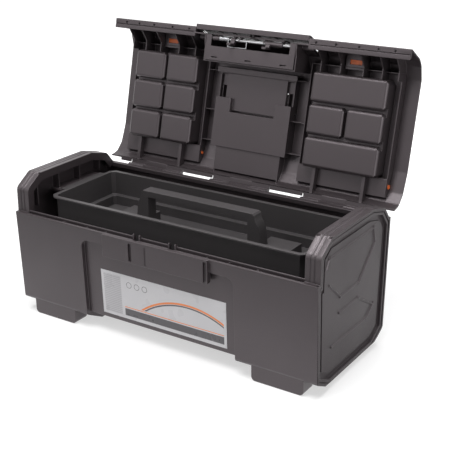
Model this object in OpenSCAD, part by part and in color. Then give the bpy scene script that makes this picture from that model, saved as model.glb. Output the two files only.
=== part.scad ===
// Toolbox with a lift-out tray: a moulded tub, a hinged lid with two organiser
// pockets and a carry handle, and one wide front latch. The lid stands open.
// Origin: on the floor, midway between the front rim and the back rim.

/* [Body] */
// Length over the front rim
body_len = 590; // [540:1:660]
// Depth from the front rim to the back rim
body_depth = 240; // [230:1:270]
// Height of the front rim above the floor
rim_z = 188; // [170:1:230]
// How far the back rim stands above the front rim
back_rise = 30; // [28:1:32]
// Thickness of the tub's walls
wall = 3; // [2.4:0.2:4]
// How far the front wall leans back from rim to base
front_draft = 4; // [2:0.5:6]
// How far the back wall leans in from rim to base
back_draft = 10; // [6:0.5:12]
// Depth of the sloped edge under the front and back walls
base_slope = 38; // [30:1:44]
// Height of that sloped edge
base_rise = 20; // [14:1:24]
// Radius of the body's long lower edges
base_r = 8; // [4:0.5:9]
// Width of the rim along the front
rim_w = 10; // [8:0.5:12]
// Height of the rim's inner lip
lip_h = 4; // [3:0.5:5]

/* [Ends] */
// Width of each raised end's top
cheek_w = 22; // [18:0.5:22]
// Setback of the raised end's front edge behind the front rim
cheek_in = 6; // [4:0.5:10]
// Height of the raised end's front edge
cheek_front_h = 42; // [36:1:48]
// Depth of the raised end's front slope
cheek_slope = 33; // [28:1:40]
// Width of the frame around each end face
frame_w = 11; // [8:0.5:14]
// How far the rings of that frame stand out
ring_out = 4; // [3:0.5:4]
// Depth of the groove inside that frame
groove_depth = 2.5; // [1.5:0.5:3]
// Width of that groove
groove_w = 9; // [6:0.5:12]
// Radius of the body's lower corners, seen from the front
corner_r = 9; // [5:0.5:12]

/* [Feet] */
// Height of the feet below the body
foot_drop = 6; // [4:0.5:8]
// Length of each foot
foot_len = 92; // [70:1:110]
// Depth of each foot, front to back
foot_depth = 30; // [26:1:36]
// Distance of the feet from the body's ends
foot_in = 24; // [16:1:40]
// Radius of the feet's lower corners
foot_r = 7; // [4:0.5:9]

/* [Front] */
// Length of the sunken front panel
recess_len = 300; // [280:1:340]
// Depth of the sunken front panel
recess_depth = 7.5; // [5:0.5:9]
// Distance of the sunken panel below the rim
recess_drop = 22; // [18:1:26]
// Radius of the sunken panel's upper corners
recess_r = 13; // [8:1:18]
// Length of the pad under the latch
pad_len = 200; // [180:1:220]
// Height of that pad
pad_h = 39; // [34:1:46]
// How far the pad stands out from the rim
pad_out = 5; // [4:0.5:7]
// Distance of each pair of catch hooks from the middle
hook_x = 35; // [28:0.5:40]
// Spacing of the two hooks of a pair
hook_gap = 12; // [9:0.5:15]
// Thickness of a hook
hook_t = 2.5; // [2:0.25:3]
// Length of the label
label_len = 249; // [200:1:260]
// Height of the label
label_h = 80; // [60:1:90]

/* [Lid] */
// Height of the closed lid above the front rim
lid_rise = 66.5; // [62:0.5:72]
// Thickness of the lid's skin
skin = 3; // [2.5:0.25:3.5]
// Overhang of the closed lid in front of the rim
lid_out = 19; // [16:0.5:22]
// Depth of the lid's lower front flange
flange_w = 17; // [14:0.5:18]
// Gap between the closed lid and the tub
lid_gap = 0.8; // [0.5:0.1:1.5]
// Angle at which the open lid stands
open_angle = 103.8; // [95:0.1:110]
// Distance of the hinge axis behind the back rim
hinge_back = 7.4; // [7:0.1:9]
// Radius of the hinge barrels
barrel_r = 5.5; // [5:0.1:6]
// Radius of the hinge pins
pin_r = 2.5; // [2:0.1:3]
// Length of one hinge section
hinge_len = 118; // [100:1:124]
// Distance of the outer hinge sections from the middle
hinge_x = 184; // [176:1:190]
// Thickness of the ribs inside the lid
rib_t = 2; // [1.5:0.25:2.5]

/* [Organisers] */
// Length of each cover
cover_len = 159; // [150:1:159]
// Depth of each cover
cover_depth = 180; // [176:1:182]
// Distance of each cover from the middle of the lid
cover_in = 105; // [104:0.5:105]
// How far the covers stand above the lid
cover_proud = 1.5; // [1:0.25:3]
// Depth of the organiser pockets below the cover
pocket_depth = 36; // [26:1:40]
// Gap between neighbouring cells, seen from below
cell_gap = 8; // [6:0.5:10]
// Radius of the cells' lower edges
cell_r = 6; // [3:0.5:6]
// Radius of the covers' hinge pins
cover_pin_r = 2.5; // [2:0.1:3]
// Width of a cover latch
tab_w = 24; // [18:1:30]

/* [Carry handle] */
// Length of the grip between its arms
grip_len = 124; // [116:1:126]
// Reach of the arms from pivot to grip
grip_reach = 44; // [42:1:46]
// Width of each arm
arm_w = 11; // [9:0.5:12]
// Radius of the handle's pivot pins
handle_pin_r = 2.5; // [2:0.1:3]

/* [Latch] */
// Length of the latch lever
latch_len = 224; // [216:1:232]
// Radius of the latch rod
rod_r = 2.5; // [2:0.1:3]
// Thickness of the spring's wire
wire_d = 1.6; // [1.2:0.1:2]
// Length of the latch housing
housing_len = 184; // [176:1:190]

/* [Tray] */
// Length of the tray over its rim
tray_len = 504; // [480:1:512]
// Depth of the tray over its rim
tray_depth = 170; // [160:1:180]
// Height of the tray's rim above the front rim
tray_rise = 24; // [20:1:28]
// Height of the tray
tray_h = 62; // [54:1:80]
// Thickness of the tray's walls
tray_wall = 2.5; // [2:0.25:3]
// Width of the tray's rim
tray_rim = 5; // [4:0.5:7]
// Length of the opening under the tray's handle
tray_grip = 200; // [160:2:220]
// Thickness of the tray's handle, front to back
tray_grip_t = 22; // [18:1:26]

/* [Hidden] */
$fn = 32;
eps = 0.01;
pin_gap = 0.05;   // radial running clearance of every pin
fit = 0.3;        // clearance between faces that slide or sit side by side
arc_n = 5;        // steps in a rounded corner of a profile

charcoal = "#39363a";
tray_grey = "#343633";
orange = "#e2662a";
steel = "#b9babd";
paper = "#eeeeec";

// ---- profiles: points are [distance behind the front rim, height above it] ----
front_y = -body_depth / 2;
function at(y, z) = [front_y + y, rim_z + z];
base_z = foot_drop - rim_z;

function unit(v) = v / norm(v);
function left_of(v) = [-v[1], v[0]];
// one corner of a path moved sideways by t, mitred
function mitre(a, b, c, t) =
    let (n1 = left_of(unit(b - a)), n2 = left_of(unit(c - b)), m = unit(n1 + n2))
    b + m * t / (m * n1);
// an open path moved sideways by t
function shifted(p, t) = let (last = len(p) - 1) [for (i = [0:last])
    i == 0 ? p[0] + left_of(unit(p[1] - p[0])) * t :
    i == last ? p[last] + left_of(unit(p[last] - p[last - 1])) * t :
    mitre(p[i - 1], p[i], p[i + 1], t)];
function reversed(p) = [for (i = [len(p) - 1:-1:0]) p[i]];
// the inner corners of an open path rounded by r
function eased(p, r) = let (last = len(p) - 1) [for (i = [0:last])
    each (i == 0 || i == last ? [p[i]] : corner(p[i - 1], p[i], p[i + 1], r))];
function corner(a, b, c, r) =
    let (u = unit(a - b), v = unit(c - b), h = acos(u * v) / 2,
        d = min(r / tan(h), norm(a - b) * 0.45, norm(c - b) * 0.45),
        m = b + unit(u + v) * d / cos(h), s = b + u * d - m, e = b + v * d - m)
    [for (k = [0:arc_n]) m + norm(s) * unit(s * (arc_n - k) + e * k)];

tub_path = [at(0, 0), at(front_draft, base_z + base_rise), at(front_draft + base_slope, base_z),
    at(body_depth - back_draft - base_slope, base_z),
    at(body_depth - back_draft, base_z + base_rise), at(body_depth, back_rise)];
tub_outer = eased(tub_path, base_r);
tub_inner = eased(shifted(tub_path, wall), base_r - wall + 1);

cheek_top = lid_rise - skin - lid_gap;
cheek_path = [at(body_depth - cheek_in + 1, back_rise), at(body_depth - 23, cheek_top - 11),
    at(body_depth - 64, cheek_top), at(cheek_in + cheek_slope, cheek_top),
    at(cheek_in + 1, cheek_front_h), at(cheek_in, 0)];
cheek_outer = eased(cheek_path, 12);
cheek_inner = eased(shifted(cheek_path, wall), 10);
end_face = concat(tub_outer, cheek_outer);
recess_under = 8;   // how far the sunken panel runs under the floor
line_w = 6.5;       // width of the raised lines on the end faces at their root
line_top = 1.2;     // their width at the top
line_out = 2;       // and how far they stand out
cheek_groove = 1.2; // depth of the grooves along the raised ends

// the lid as it lies closed
flange_z = lip_h + 0.5;
lid_back = body_depth - 1;
back_lip = 2.8;                 // reach of the lip along the lid's back edge
lid_path = [at(-lid_out, flange_z), at(-lid_out, flange_z + 6), at(12 - lid_out, lid_rise - 21),
    at(22 - lid_out, lid_rise - 10), at(45 - lid_out, lid_rise), at(lid_back - 63, lid_rise),
    at(lid_back - 27, lid_rise - 6), at(lid_back - 9, lid_rise - 17),
    at(lid_back - 2, back_rise + 6), at(lid_back - 2, back_rise + 1.5)];
lid_outer = eased(lid_path, 14);
lid_inner = shifted(lid_outer, -skin);
under_lid = concat(lid_outer, [at(lid_back - 2, -rim_z / 2), at(-lid_out, -rim_z / 2)]);
in_skin = concat(shifted(lid_outer, -skin / 2), [at(lid_back - 2 - skin / 2, -rim_z / 2),
    at(skin / 2 - lid_out, -rim_z / 2)]);   // what lies inside the middle of the lid's skin
flange_in = flange_w - lid_out;

hinge_y = front_y + body_depth + hinge_back;
hinge_z = rim_z + back_rise - barrel_r;
knuckle_len = 44;

// organiser pockets
cover_y0 = front_y + 22;
cover_z0 = rim_z + lid_rise - 4.5;
cover_z1 = rim_z + lid_rise + cover_proud;
seat_z = cover_z0 - fit;
seat_t = 2.5;
bay_gap = 1.2;
bay_x0 = cover_in - bay_gap;
bay_x1 = cover_in + cover_len + bay_gap;
bay_y0 = cover_y0 - bay_gap;
cover_pivot = [cover_y0 + cover_depth + 1, rim_z + lid_rise - 12.5];
arm_r = 5.5;
arm_t = 6;
trough_y0 = cover_pivot[0] - 11;
bay_y1 = cover_pivot[0] + cover_z1 - cover_pivot[1] + bay_gap;
trough_z = cover_pivot[1] - arm_r - bay_gap;
bay_wall_z = rim_z + lid_rise - 20;
pocket_x0 = cover_in + 13;
pocket_x1 = cover_in + cover_len - 13;
pocket_y0 = cover_y0 + 12;
pocket_y1 = trough_y0 - 3;
pocket_z0 = seat_z - pocket_depth;
pocket_wall = 2;
tab_x = cover_in + cover_len / 2;
tab_y = cover_y0 - 5;
tab_r = 2.8;
tab_z = cover_z0 + tab_r;
tab_foot = rim_z + lid_rise - 22;
tab_gap = 4;
tab_reach = 12;     // reach of a cover latch's finger tab
notch_x0 = tab_x - tab_w / 2 - tab_gap;
notch_x1 = tab_x + tab_w / 2 + tab_gap;
bin_foot = trough_z - seat_t;   // underside of the bins' deepest walls
groove_h = 14;                  // height of the cells below their common floor
rib_at = [-58, -21.5, 19.5, 53, bay_x1 + rib_t / 2 - tab_x];   // ribs in front of a bin

// carry handle
handle_y = front_y + 110;
handle_z = rim_z + lid_rise - 8.5;
grip_y = handle_y - grip_reach;
grip_h = 12;
grip_w = 20;
slot_gap = 1.2;
arm_x0 = grip_len / 2;
arm_x1 = arm_x0 + arm_w;
slot_x0 = arm_x0 - slot_gap;
slot_x1 = arm_x1 + slot_gap;
pan_wall = 2.4;
arm_wall = 2;
pan_y0 = grip_y - grip_w / 2 - 2;
pan_z = handle_z - grip_h / 2 - 3;
well_y0 = handle_y + 14;
well_y1 = handle_y + 72;
well_z = rim_z + lid_rise - 25;
yoke_x = 45;                    // inner side of the boxes round the pivots
yoke_y = handle_y - 13;
sill_y = pan_y0 - 10;
gully = 3;                      // width of the groove behind the pan
rear_y = lid_back + front_y - 13;

// latch
rod_y = front_y - 2.5;
rod_z = rim_z + 11;
hub_r = rod_r + 2;
latch_half = latch_len / 2;
housing_half = housing_len / 2;
housing_wall = 2.5;
housing_y1 = front_y + 38;
plate_t = 2;
plate_z = rim_z + lip_h + 4;
notch_y = front_y + rim_w + 1;
rod_half = housing_half - 1;
room_out = 60;      // the lever's room in front of the lid, over it, below the rim and inside it
room_over = 9;
room_under = 20;
room_depth = 40.5;
hub_end = housing_half - 15;
lever_top = [at(7 - lid_out, lid_rise - 20.5), at(11 - lid_out, lid_rise - 16.5)];
cap_ribs = [latch_half - 1.5, hook_x * 2, hook_x + 7];
hook_h = 9;
claw_w = hook_gap - hook_t - 1.5;
claw_drop = 6;      // how far the claws reach below the rim
claw_y = 3;         // front face of the claws behind the rim's front
claw_t = 4;
slot_y1 = 13;       // back of the slots that the claws swing in
coil_x = -hook_x - hook_gap / 2 - hook_t - wire_d / 2;
coils = 13;
coil_end = coil_x - (coils - 1) * (wire_d - 0.1) - wire_d / 2;
screw_y = front_y - 13;
screw_z = rim_z + 8;
screw_sink = 9;     // depth of the hole that the screw's head lies in

// tray
tray_x = tray_len / 2 - tray_rim;
tray_y0 = front_y + (body_depth - tray_depth) / 2 + 5;
tray_y1 = tray_y0 + tray_depth;
tray_top = rim_z + tray_rise;
tray_base = tray_top - tray_h;
shelf_z = tray_top - 3;
ledge = 12;                     // width of the step along the tray's sides and back
ledge_z = tray_base + 20;
block_x = tray_grip / 2 + 14;   // the raised blocks beside the handle
block_len = 58;
block_h = 19;
tray_g = tray_grip / 2;
tray_bar = 11;                  // height of the handle's bar
handle_top = tray_top + 12;

// ---- shared shapes ----
// a profile of [y, z] points drawn out along X from x0 to x1
module along_x(x0, x1) {
    translate([x0, 0, 0]) rotate([90, 0, 90]) linear_extrude(x1 - x0) children();
}
module block(a, b) {
    translate(a) cube(b - a);
}
module rod_x(x0, x1, y, z, r) {
    translate([x0, y, z]) rotate([0, 90, 0]) cylinder(r = r, h = x1 - x0);
}
// a plate in plan with cut corners
module plate(a, b, z0, z1, cut) {
    translate([0, 0, z0]) linear_extrude(z1 - z0) polygon([[a[0] + cut, a[1]], [b[0] - cut, a[1]],
        [b[0], a[1] + cut], [b[0], b[1] - cut], [b[0] - cut, b[1]], [a[0] + cut, b[1]],
        [a[0], b[1] - cut], [a[0], a[1] + cut]]);
}
module both_sides() {
    children();
    mirror([1, 0, 0]) children();
}
// turns the closed lid's space about the hinge to where the lid stands open
module opened() {
    translate([0, hinge_y, hinge_z]) rotate([-open_angle, 0, 0])
        translate([0, -hinge_y, -hinge_z]) children();
}
hinge_centres = [-hinge_x, 0, hinge_x];

// ---- tub ----
end_x = body_len / 2 - 4;
module tub_shell() {
    difference() {
        union() {
            along_x(-end_x, end_x) polygon(tub_outer);
            both_sides() along_x(end_x - cheek_w, end_x) polygon(end_face);
            feet();
        }
        along_x(cheek_w - end_x, end_x - cheek_w)
            polygon(concat(tub_inner, [tub_inner[len(tub_inner) - 1] + [0, 99],
                tub_inner[0] + [0, 99]]));
        both_sides() end_hollow();
    }
}
// the space inside a raised end, under its top band, open towards the middle
module end_hollow() {
    along_x(end_x - cheek_w - 1, end_x - wall - 1) polygon(concat(tub_inner, cheek_inner));
}
module cheek_ribs() {
    y0 = front_y + cheek_in + wall;
    for (f = [0.12, 0.38, 0.64, 0.9])
        intersection() {
            along_x(end_x - cheek_w + 3, end_x - wall) polygon(cheek_inner);
            block([0, y0 + f * (body_depth - 30) - 1.2, rim_z],
                [body_len, y0 + f * (body_depth - 30) + 1.2, rim_z + 99]);
        }
}
// the lip that hangs from the inner edge of a raised end's top
module cheek_lip() {
    along_x(end_x - cheek_w, end_x - cheek_w + 2.5) polygon(concat(
        eased(shifted(cheek_path, 1), 11), reversed(eased(shifted(cheek_path, 14), 4))));
}
module tray_shelves() {
    both_sides() block([tray_len / 2 + 3, tray_y0 + 40, shelf_z - 5],
        [end_x - wall, tray_y1 - 20, shelf_z]);
}
recess_half = recess_len / 2;
// the front's outer surface, with a strip of the floor, moved inwards by d
function recess_path(d, under) = shifted([at(0, 0), at(front_draft, base_z + base_rise),
    at(front_draft + base_slope, base_z), at(front_draft + base_slope + under, base_z)], d);
module front_recess_cut() {
    intersection() {
        along_x(-recess_half, recess_half) polygon(concat(recess_path(-9, recess_under),
            reversed(recess_path(recess_depth, recess_under))));
        arched(recess_half, front_y - 20, 0, -1, rim_z - recess_drop, recess_r);
    }
}
// a block between -half and half with rounded upper corners, seen from the front
module arched(half, y0, y1, z0, z1, r) {
    translate([0, y1, 0]) rotate([90, 0, 0]) linear_extrude(y1 - y0)
        polygon(eased([[-half, z0], [-half, z1], [half, z1], [half, z0]], r));
}
module front_recess_wall() {
    half = recess_half + wall;
    under = recess_under + wall;
    intersection() {
        along_x(-half, half) polygon(concat(recess_path(wall / 2, under),
            reversed(recess_path(recess_depth + wall, under))));
        arched(half, front_y, 0, foot_drop, rim_z - recess_drop + wall, recess_r + wall);
    }
}
module front_rim() {
    half = body_len / 2;
    difference() {
        union() {
            block([-half, front_y - 0.5, rim_z - 6], [half, front_y + rim_w, rim_z]);
            block([-half + 6, front_y + rim_w - 2.5, rim_z - 6],
                [half - 6, front_y + rim_w, rim_z + lip_h]);
        }
        block([2 - half, front_y + 1.5, rim_z - 3], [half - 2, front_y + rim_w - 2.5, rim_z + 1]);
        both_sides() block([end_x + eps, front_y + cheek_in - 1, rim_z - 7],
            [half + 1, front_y + rim_w + 1, rim_z + 9]);
    }
    for (x = [-half + 105, -half + 155, -pad_len / 2, pad_len / 2, half - 155, half - 105])
        block([x - 1.2, front_y, rim_z - 3.5], [x + 1.2, front_y + rim_w - 1, rim_z]);
}
module back_rim() {
    top = rim_z + back_rise;
    block([-end_x, -front_y - 9, top - 8], [end_x, -front_y, top]);
}
module latch_pad() {
    half = pad_len / 2;
    difference() {
        block([-half, front_y - pad_out, rim_z - pad_h], [half + 7, front_y + 4, rim_z]);
        block([-46, front_y - pad_out - 1, rim_z - pad_h + 3], [-40, front_y - 1, rim_z - 5]);
        block([half - 1, front_y - pad_out - 1, rim_z - pad_h - 1],
            [half + 5, front_y - 1, rim_z - 4]);
        block([-14, front_y - pad_out - 1, rim_z - pad_h + 3],
            [-9, front_y - pad_out + 1.2, rim_z - 5]);
    }
}
// pairs of thin upright hooks that guide the latch's claws
module catch_hooks() {
    for (side = [-1, 1], k = [-1, 1]) {
        x = side * hook_x + k * hook_gap / 2;
        along_x(x - hook_t / 2, x + hook_t / 2)
            polygon([at(rim_w - 1, -4), at(rim_w - 1, hook_h - 2), at(rim_w - 3, hook_h),
                at(5, hook_h), at(3.5, hook_h - 2), at(3.5, -4)]);
    }
}
// slots in the rim between the hooks, under which the claws catch
module claw_slots() {
    w = (hook_gap - hook_t) / 2;
    for (side = [-1, 1])
        block([side * hook_x - w, front_y + claw_y - 1.2, rim_z - claw_drop - 2],
            [side * hook_x + w, front_y + slot_y1, rim_z + lip_h + 1]);
}
module feet() {
    x1 = body_len / 2 - foot_in;
    both_sides() {
        foot(x1, front_y + front_draft + 1, 1);
        foot(x1, -front_y - back_draft - 1, -1);
    }
}
// one foot; y is its outer face and side says which way it runs from there
module foot(x1, y, side) {
    top = base_rise + foot_drop + 8;
    translate([0, y, 0]) rotate([90, 0, side > 0 ? 180 : 0]) mirror([side > 0 ? 1 : 0, 0, 0])
        linear_extrude(foot_depth) polygon(eased([[x1 - foot_len, top], [x1 - foot_len, 0],
            [x1, 0], [x1, top]], foot_r));
}
module tub_knuckles() {
    half = knuckle_len / 2;
    for (c = hinge_centres) {
        rod_x(c - half, c + half, hinge_y, hinge_z, barrel_r);
        block([c - half, -front_y - 5, hinge_z - barrel_r + 0.6],
            [c + half, hinge_y, hinge_z + barrel_r - 0.6]);
    }
}
// a band of each end face between two distances from its edge, from x0 to x1
module end_band(from, to, x0, x1) {
    along_x(x0, x1) difference() {
        offset(delta = -from) polygon(end_face);
        offset(delta = -to) polygon(end_face);
    }
}
// two raised rings round each end face, with a shallow channel between them
module end_rings() {
    third = frame_w / 3;
    end_band(0, third + 1, end_x - 1, end_x + ring_out);
    end_band(third, third * 2, end_x - 1, end_x + ring_out - 2.5);
    end_band(third * 2 - 1, frame_w, end_x - 1, end_x + ring_out - 1);
}
module end_face_cut() {
    end_band(frame_w, frame_w + groove_w, end_x - groove_depth, end_x + ring_out + 1);
}
// what is taken off the long lower corners to round them
module corner_cut() {
    x = end_x + ring_out;
    z = foot_drop;
    translate([0, -front_y + 1, 0]) rotate([90, 0, 0]) linear_extrude(2 - 2 * front_y) polygon(concat(
        [[x + 1, z - 1], [x + 1, z + corner_r]],
        [for (k = [0:arc_n + 1]) let (a = 90 * k / (arc_n + 1))
            [x - corner_r + corner_r * cos(a), z + corner_r - corner_r * sin(a)]],
        [[x - corner_r, z - 1]]));
}
module end_lines() {
    y0 = front_y + frame_w + groove_w;
    y1 = front_y + body_depth - back_draft - frame_w - groove_w;
    m = (y0 + y1) / 2;
    z = [cheek_top - 34, -16, -46, -72, -104, base_z + 62, base_z + 40];
    line(y0 + 12, z[0] - 12, y0 + 20, z[0]);
    line(y0 + 20, z[0], y1 - 26, z[0]);
    line(y1 - 26, z[0], y1 - 20, z[0] - 26);
    line(y1 - 20, z[0] - 26, m + 24, z[2]);
    line(m + 24, z[2], m - 38, z[2]);
    line(m - 38, z[2], y0 + 22, z[1]);
    line(m - 38, z[3], m + 22, z[3]);
    line(m + 22, z[3], y1 - 20, z[4]);
    line(y0 + 34, z[6] + 22, y1 - 40, z[6] + 22);
    line(y1 - 40, z[6] + 22, y1 - 18, z[5] + 16);
}
// a raised line with sloping sides on the end face, between two points
module line(ya, za, yb, zb) {
    far = norm([yb - ya, zb - za]) + line_w / 2;
    translate([end_x - 1, ya, rim_z + za]) rotate([atan2(zb - za, yb - ya), 0, 0])
        translate([0, far, 0]) rotate([90, 0, 0]) linear_extrude(far + line_w / 2)
            polygon([[0, -line_w / 2], [1 + line_out, -line_top / 2], [1 + line_out, line_top / 2],
                [0, line_w / 2]]);
}
// two grooves along the top of each raised end
module cheek_grooves() {
    for (x = [end_x - 7, end_x - 14])
        intersection() {
            end_band(-1, cheek_groove, x, x + 2.5);
            block([0, front_y - 20, rim_z + 2], [body_len, body_depth, rim_z + lid_rise]);
        }
}
module tub() {
    color(charcoal) {
        tub_body();
        both_sides() end_lines();
    }
}
module tub_body() {
    difference() {
        union() {
            difference() {
                union() {
                    tub_shell();
                    front_recess_wall();
                }
                front_recess_cut();
            }
            both_sides() {
                cheek_lip();
                cheek_ribs();
            }
            tray_shelves();
            front_rim();
            back_rim();
            both_sides() end_rings();
            latch_pad();
            catch_hooks();
            tub_knuckles();
        }
        both_sides() {
            cheek_grooves();
            end_face_cut();
            corner_cut();
        }
        claw_slots();
        for (c = hinge_centres)
            rod_x(c - knuckle_len, c + knuckle_len, hinge_y, hinge_z, pin_r + pin_gap);
    }
}
module label() {
    a = recess_path(recess_depth, recess_under);
    lean = atan2(a[1][0] - a[0][0], a[0][1] - a[1][1]);
    top = rim_z - recess_drop - 48;
    y = a[0][0] + (a[0][1] - top) * tan(lean);
    color(paper) translate([7 - label_len / 2, y, top]) rotate([lean, 0, 0])
        translate([0, -0.4, -label_h]) cube([label_len, 0.4, label_h]);
}
module hinge_pin(c) {
    color(charcoal) rod_x(c - hinge_len / 2, c + hinge_len / 2, hinge_y, hinge_z, pin_r);
}
module hinge_pin_left() hinge_pin(-hinge_x);
module hinge_pin_centre() hinge_pin(0);
module hinge_pin_right() hinge_pin(hinge_x);

// ---- tray ----
module tray_well() {
    t = tray_wall;
    difference() {
        plate([-tray_x, tray_y0 + tray_rim], [tray_x, tray_y1 - tray_rim], tray_base, tray_top, 8);
        plate([t - tray_x, tray_y0 + tray_rim + t], [tray_x - t, tray_y1 - tray_rim - t], ledge_z,
            tray_top + 1, 6);
        plate([ledge - tray_x, tray_y0 + tray_rim + t], [tray_x - ledge, tray_y1 - tray_rim - ledge],
            tray_base + t, ledge_z + 1, 5);
    }
}
// the space under the ledge, the blocks and the handle, open at the bottom
module tray_hollows() {
    t = tray_wall;
    difference() {
        plate([t - tray_x, tray_y0 + tray_rim + t], [tray_x - t, tray_y1 - tray_rim - t],
            tray_base - 1, ledge_z - t, 6);
        plate([ledge - t - tray_x, tray_y0], [tray_x + t - ledge, tray_y1 - tray_rim - ledge + t],
            tray_base - 2, ledge_z, 5);
    }
    both_sides() block([block_x + t, tray_y0 + tray_rim + 1 + t, tray_base - 1],
        [block_x + block_len - t, tray_y1 - 38 - t, tray_base + block_h - t]);
    tray_across(tray_grip_t - t * 2) {
        polygon([[-tray_g - 4, handle_top - tray_bar - 1], [-tray_g - 4, handle_top - t],
            [tray_g + 4, handle_top - t], [tray_g + 4, handle_top - tray_bar - 1]]);
        for (s = [-1, 1])
            polygon([[s * (tray_g + t), tray_base - 1], [s * (tray_g + t), handle_top - t],
                [s * (tray_g + 10), handle_top - t], [s * (tray_g + 15 - t), tray_top],
                [s * (tray_g + 22 - t), tray_top - 12], [s * (tray_g + 28 - t), tray_base + 1],
                [s * (tray_g + 28 - t), tray_base - 1]]);
    }
}
module tray_rims() {
    t = tray_wall;
    difference() {
        plate([-tray_len / 2, tray_y0], [tray_len / 2, tray_y1], tray_top - 3, tray_top, 10);
        plate([t - tray_x, tray_y0 + tray_rim + t], [tray_x - t, tray_y1 - tray_rim - t],
            tray_top - 4, tray_top + 1, 6);
    }
    both_sides() block([tray_x, tray_y0 + 42, tray_top - 3],
        [tray_len / 2 + 11, tray_y1 - 22, tray_top - 1]);
}
// the two raised blocks beside the handle
module tray_blocks() {
    both_sides() block([block_x, tray_y0 + tray_rim + 1, tray_base + 1],
        [block_x + block_len, tray_y1 - 38, tray_base + block_h]);
}
// outlines seen from the front, drawn out through the thickness of the tray's handle
module tray_across(t) {
    translate([0, (tray_y0 + tray_y1) / 2 + 6 + t / 2, 0]) rotate([90, 0, 0]) linear_extrude(t)
        children();
}
module tray_handle() {
    g = tray_g;
    top = handle_top;
    tray_across(tray_grip_t) difference() {
        polygon([[-g - 28, tray_base + 1], [-g - 22, tray_top - 12], [-g - 15, tray_top],
            [-g - 13, top - 3], [-g - 10, top], [g + 10, top], [g + 13, top - 3],
            [g + 15, tray_top], [g + 22, tray_top - 12], [g + 28, tray_base + 1]]);
        polygon([[-g, tray_base], [-g, top - tray_bar], [g, top - tray_bar], [g, tray_base]]);
    }
}
module tray() {
    color(tray_grey) difference() {
        union() {
            tray_well();
            tray_rims();
            tray_blocks();
            tray_handle();
        }
        tray_hollows();
    }
}

// ---- lid ----
lid_half = body_len / 2 - 3;
module lid_skin() {
    along_x(-lid_half, lid_half) polygon(concat(lid_outer, reversed(lid_inner)));
    both_sides() along_x(latch_half + fit * 3, lid_half) polygon([lid_path[0], lid_path[1],
        at(flange_in - 3, flange_z + 6), at(flange_in, flange_z)]);
    for (c = hinge_centres)
        along_x(c - knuckle_len / 2 - 1, c + knuckle_len / 2 + 1) polygon([
            [hinge_y - barrel_r * 2 - 2, hinge_z + barrel_r + lid_gap],
            [hinge_y + 1, hinge_z + barrel_r + lid_gap],
            [hinge_y + 1, hinge_z + barrel_r + lid_gap + 2],
            [hinge_y - barrel_r * 2 - 2, hinge_z + barrel_r + lid_gap + 5]]);
}
// a fine groove and small square sinks in the underside of the lid's front flange
module flange_marks() {
    y = front_y + flange_in - flange_w / 2;
    z = rim_z + flange_z;
    block([latch_half + 4, y, z - 1], [lid_half + 1, y + 1.2, z + 1]);
    for (x = rib_at)
        block([tab_x + x - 1.8, y - 4.6, z - 1], [tab_x + x + 1.8, y - 1, z + 3]);
}
// ribs from the front flange to the organiser bins
module apron_ribs() {
    for (x = rib_at)
        along_x(tab_x + x - rib_t / 2, tab_x + x + rib_t / 2) rib_section(bay_y0 - rib_t);
}
module rib_section(y1) {
    deep = [y1, rim_z + lid_rise - 35];
    intersection() {
        polygon(in_skin);
        polygon([at(-lid_out, flange_z + 1), at(-lid_out, lid_rise), [y1, rim_z + lid_rise], deep,
            at(15, lid_rise - 35), at(flange_in, flange_z + 10), at(flange_in, flange_z + 1)]);
    }
}
// the space that a bin fills in the lid
module bin_outline() {
    w = rib_t;
    top = rim_z + lid_rise + 1;
    block([bay_x0 - w, bay_y0 - w, bay_wall_z], [bay_x1 + w, bay_y1 + w, top]);
    block([bay_x0 - w, trough_y0 - w, bin_foot], [bay_x1 + w, bay_y1 + w, top]);
}
// an organiser bin: the seat for its cover, the pocket and the walls round them
module bin_solid(rows) {
    w = rib_t;
    top = rim_z + lid_rise + 1;
    intersection() {
        along_x(0, lid_half) polygon(under_lid);
        union() {
            block([bay_x0 - w, bay_y0 - w, bay_wall_z], [bay_x0, bay_y1 + w, top]);
            block([bay_x1, bay_y0 - w, bay_wall_z], [bay_x1 + w, bay_y1 + w, top]);
            block([bay_x0 - w, bay_y0 - w, bay_wall_z], [bay_x1 + w, bay_y0, top]);
            block([bay_x0 - w, bay_y1, bin_foot], [bay_x1 + w, bay_y1 + w, top]);
            block([bay_x0 - w, bay_y0 - w, seat_z - seat_t], [bay_x1 + w, trough_y0, seat_z]);
            block([bay_x0 - w, trough_y0 - w, bin_foot], [bay_x1 + w, bay_y1 + w, seat_z]);
        }
    }
    plate([pocket_x0 - pocket_wall, pocket_y0 - pocket_wall],
        [pocket_x1 + pocket_wall, pocket_y1 + pocket_wall], pocket_z0 + groove_h, seat_z, 7);
    cell_pillows(rows);
    block([notch_x0 - w, bay_y0 - w, tab_foot - 3], [notch_x1 + w, bay_y0 + w, seat_z]);
    for (x = rib_at)
        intersection() {
            along_x(tab_x + x - rib_t / 2, tab_x + x + rib_t / 2)
                rib_section(pocket_y0 - pocket_wall);
            block([0, bay_y0 - w, rim_z], [body_len, body_len, seat_z]);
        }
}
module rear_ribs() {
    for (x = [cover_in + 33, cover_in + 125])
        along_x(x - 3, x + 3) intersection() {
            polygon(in_skin);
            polygon([[pocket_y1 + pocket_wall, bay_wall_z - 12], at(lid_back - 6, back_rise + 4),
                at(lid_back, back_rise + 4), at(lid_back, lid_rise - 8),
                [bay_y1 + rib_t, bin_foot], [pocket_y1 + pocket_wall, bin_foot]]);
        }
}
module bay_cut() {
    block([bay_x0, bay_y0, seat_z], [bay_x1, bay_y1, cover_z1 + 20]);
    block([bay_x0, trough_y0, trough_z], [bay_x1, bay_y1, seat_z + 1]);
    rod_x(bay_x0 - 9, bay_x1 + 9, cover_pivot[0], cover_pivot[1], cover_pin_r + pin_gap);
}
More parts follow.
